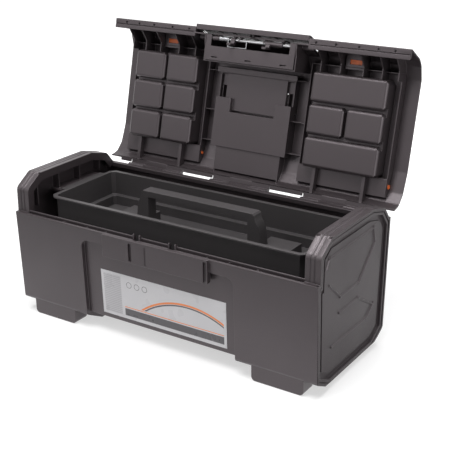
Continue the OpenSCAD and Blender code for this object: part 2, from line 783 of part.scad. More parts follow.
// the notch in the front slope that the cover latch swings in, with its window
module tab_notch_solid() {
    x0 = notch_x0 - rib_t;
    x1 = notch_x1 + rib_t;
    difference() {
        block([x0, front_y - 8, tab_foot - 3], [x1, bay_y0 - rib_t, seat_z]);
        along_x(x0 - 1, x1 + 1) polygon([[front_y - 30, tab_foot - 9], [front_y - 30, seat_z + 30],
            at(45 - lid_out, lid_rise + 30), at(45 - lid_out, lid_rise - 1),
            at(22 - lid_out, lid_rise - 11), at(12 - lid_out, lid_rise - 22), at(-lid_out, flange_z)]);
    }
}
module tab_notch_cut() {
    block([notch_x0, front_y - 30, tab_foot - 1], [notch_x1, bay_y0, seat_z + 20]);
    block([tab_x - tab_w / 2 + 0.8, tab_y - tab_reach + 1.5, tab_foot - 9],
        [tab_x + tab_w / 2 - 0.8, tab_y - tab_r, tab_foot]);
}
// cells of a pocket: rows from front to back, each a count of cells
module pocket_cells(rows) {
    w = pocket_wall;
    pitch_y = (pocket_y1 - pocket_y0 + cell_gap) / len(rows);
    for (r = [0:len(rows) - 1]) {
        pitch_x = (pocket_x1 - pocket_x0 + cell_gap) / rows[r];
        for (c = [0:rows[r] - 1]) {
            x = pocket_x0 + c * pitch_x;
            y = pocket_y0 + r * pitch_y;
            a = [x + (c > 0 ? w : 0), y + (r > 0 ? w : 0)];
            b = [x + pitch_x - cell_gap - (c < rows[r] - 1 ? w : 0),
                y + pitch_y - cell_gap - (r < len(rows) - 1 ? w : 0)];
            plate(a, b, pocket_z0 + w * 2, seat_z + 1, 5);
            plate(a + [w, w], b - [w, w], pocket_z0 + w, seat_z, 4);
        }
    }
}
// the outside of each cell, rounded, seen from below
module cell_pillows(rows) {
    w = pocket_wall;
    pitch_y = (pocket_y1 - pocket_y0 + cell_gap) / len(rows);
    for (r = [0:len(rows) - 1]) {
        pitch_x = (pocket_x1 - pocket_x0 + cell_gap) / rows[r];
        y = pocket_y0 + r * pitch_y;
        for (c = [0:rows[r] - 1]) {
            x = pocket_x0 + c * pitch_x;
            pillow([x - w, y - w], [x + pitch_x - cell_gap + w, y + pitch_y - cell_gap + w]);
        }
    }
}
module pillow(a, b) {
    z0 = pocket_z0;
    z1 = pocket_z0 + groove_h + 1;
    intersection() {
        along_x(a[0], b[0]) polygon(eased([[a[1], z1], [a[1], z0], [b[1], z0], [b[1], z1]], cell_r));
        translate([0, b[1], 0]) rotate([90, 0, 0]) linear_extrude(b[1] - a[1])
            polygon(eased([[a[0], z1], [a[0], z0], [b[0], z0], [b[0], z1]], cell_r));
        plate(a, b, z0 - 1, z1 + 1, 6);
    }
}
// the handle's pan, the boxes round its pivots and the finger well behind it
module handle_bay_solid() {
    w = pan_wall;
    x = slot_x1 + w;
    top = rim_z + lid_rise - 1;
    foot = well_z - w;
    block([-x, pan_y0 - w, pan_z - w], [x, yoke_y + 1, top]);
    block([-x, yoke_y, foot], [x, well_y1 + w, top]);
    difference() {
        block([-x - 4, sill_y, foot + 2], [x + 4, pan_y0, top]);
        block([-x - 5, sill_y + w, foot + 2 + w], [x + 5, pan_y0 + 1, top + 1]);
    }
}
// the space in the box round one pivot, open towards the finger well
module yoke_hollow() {
    w = pan_wall;
    block([yoke_x + w, yoke_y + w, well_z], [slot_x0 - w, well_y0 + 1, handle_z + 4]);
    block([slot_x0, yoke_y - 1, well_z], [slot_x1, well_y0 + 1, rim_z + lid_rise + 20]);
}
module handle_bay_cut() {
    w = pan_wall;
    top = rim_z + lid_rise + 20;
    difference() {
        block([-slot_x1, pan_y0, pan_z], [slot_x1, well_y0 + 1, top]);
        both_sides() {
            block([yoke_x, yoke_y, well_z], [slot_x0, well_y0 + 2, handle_z + 4 + w]);
            block([slot_x0 - w, pan_y0, pan_z - 1],
                [slot_x0, yoke_y, handle_z - grip_h / 2 - fit * 2]);
            block([slot_x0 - w, grip_y + grip_w / 2 + slot_gap, pan_z - 1],
                [slot_x0, yoke_y, handle_z + 2]);
        }
        block([-yoke_x, well_y0 - w * 2 - gully, pan_z - 1], [yoke_x, well_y0 + 2, handle_z]);
    }
    block([-slot_x1, well_y0, well_z], [slot_x1, well_y1, top]);
    block([-yoke_x, yoke_y - 1, well_z - w - 1], [yoke_x, well_y0 - w, pan_z - w]);
    block([-yoke_x, well_y0 - w - gully, well_z], [yoke_x, well_y0 - w, handle_z - w]);
    both_sides() {
        block([slot_x0, pan_y0 + 2, well_z], [slot_x1, yoke_y, top]);
        yoke_hollow();
    }
    rod_x(-slot_x1 - 9, slot_x1 + 9, handle_y, handle_z, handle_pin_r + pin_gap);
}
// the flat rear of the box under the finger well, down to the lid's back
module rear_panel() {
    x = slot_x1 - 8;
    foot = well_z - pan_wall + 3;
    intersection() {
        along_x(-x, x) polygon(in_skin);
        union() {
            block([-x, well_y1, foot], [x, rear_y, foot + pan_wall]);
            both_sides() block([x - pan_wall, well_y1, foot], [x, -front_y, rim_z + lid_rise]);
        }
    }
}
module valley_ribs() {
    top = rim_z + lid_rise - 1;
    for (y = [52, 122, 177])
        both_sides() block([slot_x1, front_y + y - 0.8, top - 18],
            [bay_x0 - rib_t, front_y + y + 0.8, top]);
}
// the housing behind the latch lever
module housing_solid() {
    w = housing_wall;
    both_sides() along_x(housing_half - w, housing_half) intersection() {
        polygon(in_skin);
        polygon([at(-9.5, 5), at(-9.5, 27), at(-4, lid_rise - 20), at(12, lid_rise), at(38, lid_rise),
            at(38, lip_h + 4), at(12, lip_h + 4), at(4, 5)]);
    }
    both_sides() along_x(housing_half - 1, latch_half + 3) polygon([at(-9.5, flange_z),
        at(-9.5, 25.9), at(-3, 25.9), at(-2.2, 29), at(0.5, 29), at(-0.5, 23.4), at(-7, 23.4),
        at(-7, flange_z)]);
    block([-housing_half, housing_y1 - w, plate_z], [housing_half, housing_y1, rim_z + lid_rise - 1]);
    for (x = [-69, 0, 69])
        block([x - 5, housing_y1 - w - 6, plate_z + plate_t],
            [x + 5, housing_y1 - 1, rim_z + lid_rise - 1]);
    along_x(-latch_half - 3, latch_half + 3) polygon([at(-2.5, 28), at(5.5, lid_rise - 11),
        at(30, lid_rise - 1), at(30, lid_rise - 5), at(8.5, lid_rise - 15), at(0.5, 28)]);
}
module lid_knuckles() {
    r = barrel_r - 0.4;
    for (c = hinge_centres, s = [-1, 1]) {
        x0 = c + (s > 0 ? knuckle_len / 2 + fit * 2 : -hinge_len / 2 + 1);
        x1 = c + (s > 0 ? hinge_len / 2 - 1 : -knuckle_len / 2 - fit * 2);
        rod_x(x0, x1, hinge_y, hinge_z, barrel_r);
        along_x(x0, x1) polygon([[hinge_y + r, hinge_z], [hinge_y + r, hinge_z + 11],
            at(lid_back - 4, back_rise + 7), at(lid_back - 4, back_rise + 1.5),
            [hinge_y - r, rim_z + back_rise + 1.5], [hinge_y - r, hinge_z]]);
    }
}
// the lip along the lid's back edge, beside and between the hinges
module back_lip() {
    half = hinge_len / 2 + 1;
    lip = [at(lid_back - 3, back_rise + 1.5), at(lid_back - 3, back_rise + 4),
        at(lid_back + back_lip, back_rise + 4), at(lid_back + back_lip, back_rise + 1.5)];
    both_sides() {
        along_x(half, hinge_x - half) polygon(lip);
        along_x(hinge_x + half, cover_in + cover_len + 4) polygon(lip);
    }
}
// heels that meet the back wall when the lid is fully open
module stop_heels() {
    for (c = hinge_centres, s = [-1, 1]) {
        x = c + s * (hinge_len / 2 - 10);
        block([x - 5, -front_y + fit, hinge_z - 10], [x + 5, hinge_y, hinge_z]);
    }
}
module lid() {
    color(charcoal) difference() {
        union() {
            opened() {
                difference() {
                    union() {
                        lid_skin();
                        both_sides() {
                            apron_ribs();
                            tab_notch_solid();
                            rear_ribs();
                        }
                        handle_bay_solid();
                        rear_panel();
                        valley_ribs();
                        housing_solid();
                    }
                    both_sides() {
                        bin_outline();
                        tab_notch_cut();
                        flange_marks();
                    }
                    handle_bay_cut();
                    lever_room();
                    rod_x(-rod_half, rod_half, rod_y, rod_z, rod_r + pin_gap);
                }
                lid_knuckles();
                back_lip();
            }
            stop_heels();
        }
        for (c = hinge_centres)
            rod_x(c - hinge_len / 2, c + hinge_len / 2, hinge_y, hinge_z, pin_r + pin_gap);
    }
}
module organiser_bin(rows) {
    color(charcoal) opened() difference() {
        bin_solid(rows);
        bay_cut();
        tab_notch_cut();
        pocket_cells(rows);
    }
}
module organiser_bin_left() mirror([1, 0, 0]) organiser_bin([2, 2, 2]);
module organiser_bin_right() organiser_bin([1, 2, 1]);
// what is cut from the lid's front so that the lever can lie there and swing
module lever_room() {
    half = latch_half + fit * 3;
    top = lid_rise + room_over;
    foot = lid_rise - room_depth;
    along_x(-half, half) polygon([at(-room_out, -room_under), at(-room_out, top), at(-7, top),
        at(0, lid_rise - 15), at(-3, foot), at(-9.6, foot), at(-9.6, -room_under)]);
}

// ---- latch ----
module latch_plate() {
    z = plate_z - fit;
    x1 = housing_half - housing_wall - fit;
    color(charcoal) opened() difference() {
        union() {
            block([-x1, notch_y, z - plate_t], [x1, housing_y1 - housing_wall - fit, z]);
            both_sides() block([x1 - 11, rod_y - 6, z - plate_t], [x1, notch_y + 1, z]);
        }
        for (x = [-69, 0, 69])
            block([x - 6, housing_y1 - 9, z - plate_t - 1], [x + 6, housing_y1 - 7, z + 1]);
    }
}
lever_path = concat([at(-lid_out - 5, flange_z), at(-lid_out - 5, flange_z + 7)], lever_top);
lever_outer = eased(lever_path, 8);
lever_lip = lever_path[0];
// the outer cap of the latch, which is pulled at its top edge
module latch_lever() {
    half = latch_half;
    color(charcoal) opened() {
        along_x(-half, half) polygon(concat(lever_outer, reversed(shifted(lever_outer, -3))));
        along_x(-half, half) polygon([lever_lip, lever_lip + [9, 0], lever_lip + [9, 3],
            lever_lip + [0, 3]]);
        both_sides() for (x = cap_ribs)
            along_x(x - 1, x + 1) polygon([lever_lip + [1, 1], lever_lip + [9, 1],
                lever_lip + [11, 20], lever_path[2] + [3, -6]]);
        difference() {
            translate([0, screw_y, screw_z + 13]) cylinder(r = 4, h = 14);
            translate([0, screw_y, screw_z + 12]) cylinder(r = 1.5, h = 12);
        }
        along_x(-1, 1) polygon([[screw_y - 7, screw_z + 14], [screw_y - 2, screw_z + 14],
            [screw_y - 2, screw_z + 26], [screw_y - 4, screw_z + 26]]);
    }
}
// the inner part of the latch: hubs on the rod, claws and the screw boss
module latch_frame() {
    color(charcoal) opened() difference() {
        union() {
            rod_x(-hub_end, coil_end - 1, rod_y, rod_z, hub_r);
            rod_x(hook_x - claw_w / 2 - 2, hub_end - 14, rod_y, rod_z, hub_r);
            rod_x(-hook_x - claw_w / 2, -hook_x + claw_w / 2, rod_y, rod_z, hub_r);
            along_x(-hub_end, hub_end - 14) polygon([[rod_y - 9.5, rod_z + 1],
                [rod_y - 6, rod_z + 1], [rod_y - 5, rod_z + 20], [rod_y - 8.5, rod_z + 20]]);
            for (x = [-74, coil_end - 3, -hook_x, -23, 26, hook_x, 60])
                along_x(x - 1.5, x + 1.5) polygon([[rod_y - 8, rod_z + 2],
                    [rod_y, rod_z - hub_r + 1], [rod_y, rod_z + hub_r - 0.5],
                    [rod_y - 6, rod_z + 12]]);
            for (side = [-1, 1])
                along_x(side * hook_x - claw_w / 2, side * hook_x + claw_w / 2) polygon([
                    [rod_y, rod_z - hub_r + 0.5], [rod_y, rod_z + hub_r - 1],
                    at(claw_y + claw_t, 9), at(claw_y + claw_t, -claw_drop),
                    at(claw_y, -claw_drop), at(claw_y, 5)]);
            translate([0, screw_y, screw_z]) cylinder(r = 4.4, h = 13);
            along_x(-1.5, 1.5) polygon([[screw_y, screw_z + 2], [rod_y - 7, screw_z + 5],
                [rod_y - 7, screw_z + 12], [screw_y, screw_z + 12]]);
        }
        rod_x(-latch_half, latch_half, rod_y, rod_z, rod_r + pin_gap);
        block([-6, rod_y - 15, screw_z + 13], [6, rod_y, rod_z + 30]);
        translate([0, screw_y, screw_z - 1]) cylinder(r = 1.8, h = 20);
        translate([0, screw_y, screw_z - 1]) cylinder(r = 3, h = screw_sink + 1);
    }
}
module latch_rod() {
    color(steel) opened() rod_x(-rod_half, rod_half, rod_y, rod_z, rod_r);
}
// coils round the rod and a bent leg that presses on the latch
module latch_spring() {
    w = wire_d / 2;
    coil_r = rod_r + fit + w;
    leg_y = front_y + rim_w - 1 + wire_d / 2;
    leg_z = rod_z - coil_r;
    color(steel) opened() {
        translate([coil_x, rod_y, rod_z]) rotate([0, -90, 0]) rotate_extrude()
            for (i = [0:coils - 1])
                translate([coil_r, i * (wire_d - 0.1)]) circle(r = w);
        for (x = [coil_x, coil_x + 37])
            translate([x, rod_y, leg_z]) rotate([-90, 0, 0]) cylinder(r = w, h = leg_y - rod_y);
        rod_x(coil_x, coil_x + 37, leg_y, leg_z, w);
    }
}
module latch_screw() {
    color(steel) opened() {
        translate([0, screw_y, screw_z + screw_sink - 1]) cylinder(r = 1.45, h = 23 - screw_sink);
        translate([0, screw_y, screw_z + screw_sink - 2.2]) cylinder(r = 2.8, h = 2.2);
    }
}

// ---- carry handle ----
module carry_handle() {
    z0 = handle_z - grip_h / 2;
    color(charcoal) opened() difference() {
        union() {
            both_sides() {
                block([arm_x0, grip_y, z0], [arm_x1, handle_y, z0 + grip_h]);
                rod_x(arm_x0, arm_x1, handle_y, handle_z, grip_h / 2);
            }
            block([-arm_x1, grip_y - grip_w / 2, z0], [arm_x1, grip_y + grip_w / 2, z0 + grip_h]);
        }
        both_sides() block([arm_x0 + arm_wall, grip_y + grip_w / 2, z0 - 1],
            [arm_x1 - arm_wall, handle_y - grip_h / 2 - 1, z0 + grip_h - arm_wall]);
        rod_x(-arm_x1 - 9, arm_x1 + 9, handle_y, handle_z, handle_pin_r + pin_gap);
    }
}
module handle_pin() {
    color(charcoal) opened() rod_x(yoke_x - 1, slot_x1 + pan_wall + 1, handle_y, handle_z,
        handle_pin_r);
}
module handle_pin_right() handle_pin();
module handle_pin_left() mirror([1, 0, 0]) handle_pin();

// ---- organiser covers ----
module organiser_cover() {
    x0 = cover_in;
    x1 = cover_in + cover_len;
    y1 = cover_y0 + cover_depth;
    t = 2;
    color(charcoal) opened() difference() {
        union() {
            difference() {
                plate([x0, cover_y0], [x1, y1], cover_z0, cover_z1, 5);
                plate([x0 + t, cover_y0 + t], [x1 - t, y1 - t], cover_z0 - 1, cover_z1 - t, 4);
            }
            for (x = [x0, x1 - arm_t]) {
                block([x, y1 - 8, cover_pivot[1] - 2], [x + arm_t, cover_pivot[0] + 1, cover_z1 - 1]);
                rod_x(x, x + arm_t, cover_pivot[0], cover_pivot[1], arm_r);
            }
            for (s = [-1, 1])
                block([tab_x + s * (tab_w / 2 + 2) - 1.5, tab_y - tab_r, cover_z0],
                    [tab_x + s * (tab_w / 2 + 2) + 1.5, cover_y0 + 1, cover_z1 - 1]);
        }
        rod_x(x0 - 1, x1 + 1, cover_pivot[0], cover_pivot[1], cover_pin_r + pin_gap);
    }
}
module organiser_cover_right() organiser_cover();
module organiser_cover_left() mirror([1, 0, 0]) organiser_cover();

module cover_latch() {
    half = tab_w / 2 - fit;
    color(orange) opened() {
        rod_x(tab_x - half, tab_x + half, tab_y, tab_z, tab_r);
        block([tab_x - half, tab_y - tab_r, tab_foot], [tab_x + half, tab_y, tab_z]);
        block([tab_x - half, tab_y - tab_reach, tab_foot], [tab_x + half, tab_y, tab_foot + 3]);
    }
}
module cover_latch_right() cover_latch();
module cover_latch_left() mirror([1, 0, 0]) cover_latch();

module cover_pin(x0, x1) {
    color(orange) opened() rod_x(x0, x1, cover_pivot[0], cover_pivot[1], cover_pin_r);
}
module inner_pin() cover_pin(bay_x0 - rib_t - 1, cover_in + arm_t);
module outer_pin() {
    x1 = bay_x1 + rib_t;
    cover_pin(cover_in + cover_len - arm_t, x1 + 1);
    color(orange) opened() rod_x(x1, x1 + 1, cover_pivot[0], cover_pivot[1], cover_pin_r + 1.3);
}
module cover_pin_right_inner() inner_pin();
module cover_pin_right_outer() outer_pin();
module cover_pin_left_inner() mirror([1, 0, 0]) inner_pin();
module cover_pin_left_outer() mirror([1, 0, 0]) outer_pin();

tub();
label();
hinge_pin_left();
hinge_pin_centre();
hinge_pin_right();
tray();
lid();
organiser_bin_left();
organiser_bin_right();
latch_plate();
latch_lever();
latch_rod();
latch_spring();
latch_frame();
latch_screw();
carry_handle();
handle_pin_left();
handle_pin_right();
organiser_cover_left();
organiser_cover_right();
cover_latch_left();
cover_latch_right();
cover_pin_left_inner();
cover_pin_left_outer();
cover_pin_right_inner();
cover_pin_right_outer();
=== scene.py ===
import math
import bmesh
import bpy
from mathutils import Matrix, Vector


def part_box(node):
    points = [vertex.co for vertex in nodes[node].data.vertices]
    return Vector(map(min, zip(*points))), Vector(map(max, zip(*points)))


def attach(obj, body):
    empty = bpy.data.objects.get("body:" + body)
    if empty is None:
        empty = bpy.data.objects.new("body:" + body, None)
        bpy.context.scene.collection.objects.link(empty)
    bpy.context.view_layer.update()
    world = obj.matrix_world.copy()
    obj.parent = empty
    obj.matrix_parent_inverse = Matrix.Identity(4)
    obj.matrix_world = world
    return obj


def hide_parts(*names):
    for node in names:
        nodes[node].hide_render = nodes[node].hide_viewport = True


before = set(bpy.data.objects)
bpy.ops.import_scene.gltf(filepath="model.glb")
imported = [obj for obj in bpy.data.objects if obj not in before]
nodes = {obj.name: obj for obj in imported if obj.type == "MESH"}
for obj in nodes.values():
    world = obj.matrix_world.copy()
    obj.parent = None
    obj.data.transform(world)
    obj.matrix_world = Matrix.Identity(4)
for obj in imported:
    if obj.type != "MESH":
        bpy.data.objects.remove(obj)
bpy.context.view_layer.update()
scene = bpy.context.scene
scene.view_settings.view_transform = "Standard"
mm = 0.001

# ---- camera and stage ----
camera = {
    "place": (0.896, -1.2567, 0.7815),
    "azimuth": 33.713,
    "elevation": 21.23,
    "roll": -0.708,
    "lens": 79.58,
    "sensor": 36,
    "nearest": 0.05,
}


def makeCamera(look):
    azimuth, elevation, roll = (math.radians(look[key]) for key in ("azimuth", "elevation", "roll"))
    back = Vector((math.sin(azimuth) * math.cos(elevation),
                   -math.cos(azimuth) * math.cos(elevation), math.sin(elevation)))
    right = (-back).cross(Vector((0, 0, 1))).normalized()
    up = right.cross(-back)
    turnedRight = math.cos(roll) * right + math.sin(roll) * up
    turnedUp = -math.sin(roll) * right + math.cos(roll) * up
    data = bpy.data.cameras.new("camera")
    data.lens = look["lens"]
    data.sensor_width = look["sensor"]
    data.clip_start = look["nearest"]
    holder = bpy.data.objects.new("camera", data)
    scene.collection.objects.link(holder)
    turn = Matrix((turnedRight, turnedUp, back)).transposed().to_4x4()
    holder.matrix_world = Matrix.Translation(Vector(look["place"])) @ turn
    scene.camera = holder


makeCamera(camera)

lighting = {
    # strength of the world on the object, and in reflections, where 1 is white
    "world": 0.14,
    "worldReflected": 1.0,
    "lamps": (
        # place, size, power
        ((-1.3, -1.9, 1.9), 1.6, 12),
        ((0.1, 0.9, 2.3), 1.8, 43),
        ((0.0, -0.7, 2.4), 1.5, 52),
        ((2.1, -0.6, 0.6), 1.0, 11),
    ),
    "aim": (0.0, 0.0, 0.18),
}


def makeLamps(look):
    aim = Vector(look["aim"])
    for index, (place, size, power) in enumerate(look["lamps"]):
        data = bpy.data.lights.new("softbox%d" % index, "AREA")
        data.shape = "DISK"
        data.size = size
        data.energy = power
        lamp = bpy.data.objects.new(data.name, data)
        scene.collection.objects.link(lamp)
        lamp.location = place
        lamp.rotation_euler = (aim - Vector(place)).to_track_quat("-Z", "Y").to_euler()


makeLamps(lighting)


def worldLight(tree, strength):
    node = tree.nodes.new("ShaderNodeBackground")
    node.inputs["Color"].default_value = (1, 1, 1, 1)
    node.inputs["Strength"].default_value = strength
    return node.outputs[0]


def makeWorld(look):
    world = bpy.data.worlds.new("studio")
    scene.world = world
    world.use_nodes = True
    tree = world.node_tree
    tree.nodes.clear()
    output = tree.nodes.new("ShaderNodeOutputWorld")
    path = tree.nodes.new("ShaderNodeLightPath")
    result = worldLight(tree, look["world"])
    for ray, strength in (("Is Glossy Ray", look["worldReflected"]), ("Is Camera Ray", 1.0)):
        mix = tree.nodes.new("ShaderNodeMixShader")
        tree.links.new(path.outputs[ray], mix.inputs[0])
        tree.links.new(result, mix.inputs[1])
        tree.links.new(worldLight(tree, strength), mix.inputs[2])
        result = mix.outputs[0]
    tree.links.new(result, output.inputs["Surface"])


makeWorld(lighting)

floorLook = {
    "radius": 6,
    "segments": 96,
    "height": -0.0006,
    "colour": (0.5, 0.5, 0.5),
    # distance from the middle where the paper turns white, and its glow inside and beyond it
    "whiteFrom": (0.55, 1.3),
    "glow": (0.56, 1.0),
    # painted reflection: the paper glows for glossy rays only, to lay a sheen on the box; depth
    # over which this glow weakens towards the front, and its strength there
    "paintedReflectionDepth": (-0.52, -0.04),
    "paintedReflection": (0.0, 1.0),
    # the painted reflection glow is left off the paper to the right of this place
    "paintedReflectionEnd": 0.3,
}


def makeFloor(look):
    bm = bmesh.new()
    bmesh.ops.create_circle(bm, cap_ends=True, segments=look["segments"],
                            radius=look["radius"])
    mesh = bpy.data.meshes.new("floor")
    bm.to_mesh(mesh)
    bm.free()
    floor = bpy.data.objects.new("floor", mesh)
    scene.collection.objects.link(floor)
    floor.location = (0, 0, look["height"])
    material = bpy.data.materials.new("palePaper")
    material.use_nodes = True
    tree = material.node_tree
    tree.nodes.clear()
    output = tree.nodes.new("ShaderNodeOutputMaterial")
    paper = tree.nodes.new("ShaderNodeBsdfDiffuse")
    paper.inputs["Color"].default_value = (*look["colour"], 1)
    glow = tree.nodes.new("ShaderNodeEmission")
    path = tree.nodes.new("ShaderNodeLightPath")
    coordinates = tree.nodes.new("ShaderNodeTexCoord")
    place = tree.nodes.new("ShaderNodeSeparateXYZ")
    distance = tree.nodes.new("ShaderNodeVectorMath")
    distance.operation = "LENGTH"
    tree.links.new(coordinates.outputs["Object"], place.inputs[0])
    tree.links.new(coordinates.outputs["Object"], distance.inputs[0])
    parts = []
    # glow for camera rays turns the backdrop white; glow for glossy rays is the painted reflection
    # on the box
    for ray, source, given, values in (
            ("Is Camera Ray", distance.outputs["Value"], "whiteFrom", "glow"),
            ("Is Glossy Ray", place.outputs["Y"], "paintedReflectionDepth", "paintedReflection")):
        ramp = tree.nodes.new("ShaderNodeMapRange")
        ramp.interpolation_type = "SMOOTHSTEP"
        ramp.inputs["From Min"].default_value, ramp.inputs["From Max"].default_value = look[given]
        ramp.inputs["To Min"].default_value, ramp.inputs["To Max"].default_value = look[values]
        tree.links.new(source, ramp.inputs["Value"])
        part = tree.nodes.new("ShaderNodeMath")
        part.operation = "MULTIPLY"
        tree.links.new(path.outputs[ray], part.inputs[0])
        tree.links.new(ramp.outputs["Result"], part.inputs[1])
        parts.append(part.outputs[0])
    front = tree.nodes.new("ShaderNodeMath")
    front.operation = "LESS_THAN"
    front.inputs[1].default_value = look["paintedReflectionEnd"]
    tree.links.new(place.outputs["X"], front.inputs[0])
    # the painted reflection glow, kept to the left of its end place, is added to the backdrop glow
    glowWithPaintedReflection = tree.nodes.new("ShaderNodeMath")
    glowWithPaintedReflection.operation = "MULTIPLY_ADD"
    tree.links.new(parts[1], glowWithPaintedReflection.inputs[0])
    tree.links.new(front.outputs[0], glowWithPaintedReflection.inputs[1])
    tree.links.new(parts[0], glowWithPaintedReflection.inputs[2])
    tree.links.new(glowWithPaintedReflection.outputs[0], glow.inputs["Strength"])
    both = tree.nodes.new("ShaderNodeAddShader")
    tree.links.new(paper.outputs[0], both.inputs[0])
    tree.links.new(glow.outputs[0], both.inputs[1])
    tree.links.new(both.outputs[0], output.inputs["Surface"])
    mesh.materials.append(material)


makeFloor(floorLook)
print("stage ready")


# ---- shader groups shared by several materials ----
def newGroup(name, inputs, outputs):
    group = bpy.data.node_groups.new(name, "ShaderNodeTree")
    for label, kind, value in inputs:
        socket = group.interface.new_socket(label, in_out="INPUT", socket_type=kind)
        if value is not None:
            socket.default_value = value
    for label, kind in outputs:
        group.interface.new_socket(label, in_out="OUTPUT", socket_type=kind)
    return group, group.nodes.new("NodeGroupInput"), group.nodes.new("NodeGroupOutput")


def makeMouldedGrain():
    # fine spark-eroded grain with slow flow marks, as on moulded plastic
    group, given, result = newGroup("mouldedGrain", (
        ("Vector", "NodeSocketVector", None),
        ("Grain scale", "NodeSocketFloat", 900.0),
        ("Flow scale", "NodeSocketFloat", 9.0),
    ), (("Height", "NodeSocketFloat"), ("Flow", "NodeSocketFloat")))
    grain = group.nodes.new("ShaderNodeTexNoise")
    grain.inputs["Detail"].default_value = 3
    grain.inputs["Roughness"].default_value = 0.6
    flow = group.nodes.new("ShaderNodeTexNoise")
    flow.inputs["Detail"].default_value = 4
    flow.inputs["Roughness"].default_value = 0.55
    flow.inputs["Distortion"].default_value = 0.6
    for texture, scaleName in ((grain, "Grain scale"), (flow, "Flow scale")):
        group.links.new(given.outputs["Vector"], texture.inputs["Vector"])
        group.links.new(given.outputs[scaleName], texture.inputs["Scale"])
    group.links.new(grain.outputs[0], result.inputs["Height"])
    group.links.new(flow.outputs[0], result.inputs["Flow"])
    return group


mouldedGrain = makeMouldedGrain()


def startMaterial(name):
    material = bpy.data.materials.new(name)
    material.use_nodes = True
    tree = material.node_tree
    shader = tree.nodes["Principled BSDF"]
    coordinates = tree.nodes.new("ShaderNodeTexCoord")
    return material, tree, shader, coordinates


def mapRange(tree, source, low, high, fromLow=0.3, fromHigh=0.7):
    node = tree.nodes.new("ShaderNodeMapRange")
    node.inputs["From Min"].default_value = fromLow
    node.inputs["From Max"].default_value = fromHigh
    node.inputs["To Min"].default_value = low
    node.inputs["To Max"].default_value = high
    tree.links.new(source, node.inputs["Value"])
    return node.outputs["Result"]


def mixColours(tree, factor, first, second):
    node = tree.nodes.new("ShaderNodeMix")
    node.data_type = "RGBA"
    tree.links.new(factor, node.inputs[0])
    for socket, value in ((node.inputs[6], first), (node.inputs[7], second)):
        if hasattr(value, "is_linked"):
            tree.links.new(value, socket)
        else:
            socket.default_value = (*value, 1)
    return node.outputs[2]


def addBump(tree, shader, height, strength, distance):
    bump = tree.nodes.new("ShaderNodeBump")
    bump.inputs["Strength"].default_value = strength
    bump.inputs["Distance"].default_value = distance
    tree.links.new(height, bump.inputs["Height"])
    tree.links.new(bump.outputs[0], shader.inputs["Normal"])


def plastic(name, look):
    material, tree, shader, coordinates = startMaterial(name)
    grain = tree.nodes.new("ShaderNodeGroup")
    grain.node_tree = mouldedGrain
    grain.inputs["Grain scale"].default_value = look["grain"]
    grain.inputs["Flow scale"].default_value = look["flow"]
    tree.links.new(coordinates.outputs["Object"], grain.inputs["Vector"])
    light = [min(1, value * look["spread"]) for value in look["colour"]]
    dark = [value / look["spread"] for value in look["colour"]]
    blend = mapRange(tree, grain.outputs["Flow"], 0, 1)
    tree.links.new(mixColours(tree, blend, dark, light), shader.inputs["Base Color"])
    low, high = look["roughness"]
    tree.links.new(mapRange(tree, grain.outputs["Flow"], high, low), shader.inputs["Roughness"])
    shader.inputs["IOR"].default_value = look["ior"]
    shader.inputs["Specular Tint"].default_value = (*look["tint"], 1)
    addBump(tree, shader, grain.outputs["Height"], look["bump"], look["depth"])
    return material


bodyLook = {
    "colour": (0.034, 0.028, 0.03), "tint": (1.0, 0.9, 0.95), "spread": 1.07,
    "roughness": (0.3, 0.4), "ior": 1.6,
    "grain": 1100, "flow": 7, "bump": 0.25, "depth": 0.0004,
}
trayLook = {
    "colour": (0.046, 0.043, 0.044), "tint": (1.0, 0.92, 0.96), "spread": 1.08,
    "roughness": (0.33, 0.44), "ior": 1.5,
    "grain": 900, "flow": 6, "bump": 0.3, "depth": 0.0004,
}
orangeLook = {
    "colour": (0.86, 0.17, 0.035), "tint": (1.0, 1.0, 1.0), "spread": 1.06,
    "roughness": (0.3, 0.4), "ior": 1.5,
    "grain": 1200, "flow": 30, "bump": 0.12, "depth": 0.0002,
}
pinLook = {
    "colour": (0.03, 0.028, 0.03), "tint": (1.0, 1.0, 1.0), "spread": 1.1,
    "roughness": (0.3, 0.42), "ior": 1.5,
    "grain": 1500, "flow": 40, "bump": 0.1, "depth": 0.0002,
}
bodyPlastic = plastic("bodyPlastic", bodyLook)
trayPlastic = plastic("trayPlastic", trayLook)
orangePlastic = plastic("orangePlastic", orangeLook)
pinPlastic = plastic("pinPlastic", pinLook)


steelLook = {
    "dark": (0.3, 0.3, 0.31), "light": (0.42, 0.42, 0.43), "roughness": (0.18, 0.34),
    "stretch": (30, 900, 900), "detail": 3, "bump": 0.1, "depth": 0.0002,
}


def zincSteel(look):
    # bright zinc plate with drawing marks along the wire
    material, tree, shader, coordinates = startMaterial("zincSteel")
    stretch = tree.nodes.new("ShaderNodeMapping")
    stretch.inputs["Scale"].default_value = look["stretch"]
    marks = tree.nodes.new("ShaderNodeTexNoise")
    marks.inputs["Scale"].default_value = 1.0
    marks.inputs["Detail"].default_value = look["detail"]
    tree.links.new(coordinates.outputs["Object"], stretch.inputs["Vector"])
    tree.links.new(stretch.outputs[0], marks.inputs["Vector"])
    shade = mapRange(tree, marks.outputs[0], 0, 1)
    tree.links.new(mixColours(tree, shade, look["dark"], look["light"]),
                   shader.inputs["Base Color"])
    tree.links.new(mapRange(tree, marks.outputs[0], *look["roughness"]),
                   shader.inputs["Roughness"])
    shader.inputs["Metallic"].default_value = 1.0
    addBump(tree, shader, marks.outputs[0], look["bump"], look["depth"])
    return material


steel = zincSteel(steelLook)

